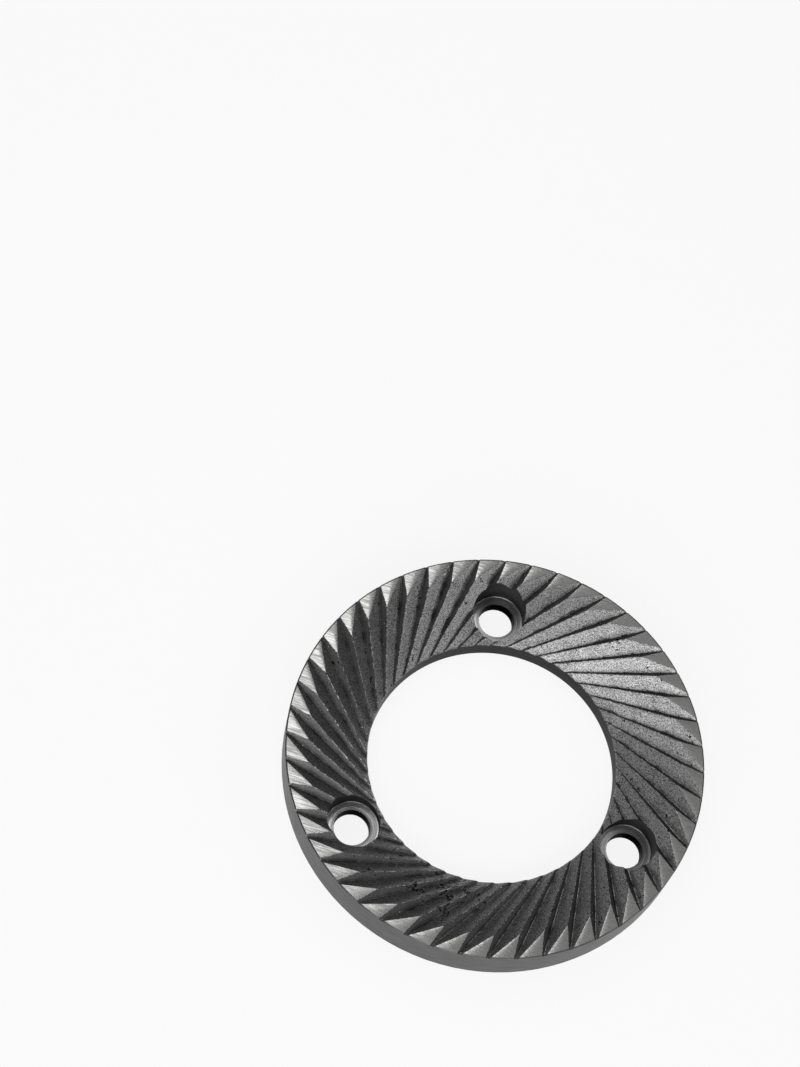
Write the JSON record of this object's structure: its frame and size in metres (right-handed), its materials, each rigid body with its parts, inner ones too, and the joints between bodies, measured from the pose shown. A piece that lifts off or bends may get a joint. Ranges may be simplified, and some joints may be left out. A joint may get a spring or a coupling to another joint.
{
  "type": "coffee grinder burr",
  "caption": "Flat steel grinding burr: a ring with slanted V-cut teeth round a central bore and counterbored screw holes, which cuts coffee beans as it turns against its twin.",
  "frame": {"origin": "centre of the flat back face, on the axis of the bore", "axes": "+Z along the axis, from the back face to the teeth; +X through the centre of one screw hole"},
  "size_m": [0.064, 0.064, 0.0076],
  "materials": {
    "hardened_steel": "hardened tool steel, face ground, teeth as milled and blasted, worn edges"
  },
  "bodies": {
    "root": {"burr_ring": "hardened_steel"}
  },
  "joints": []
}
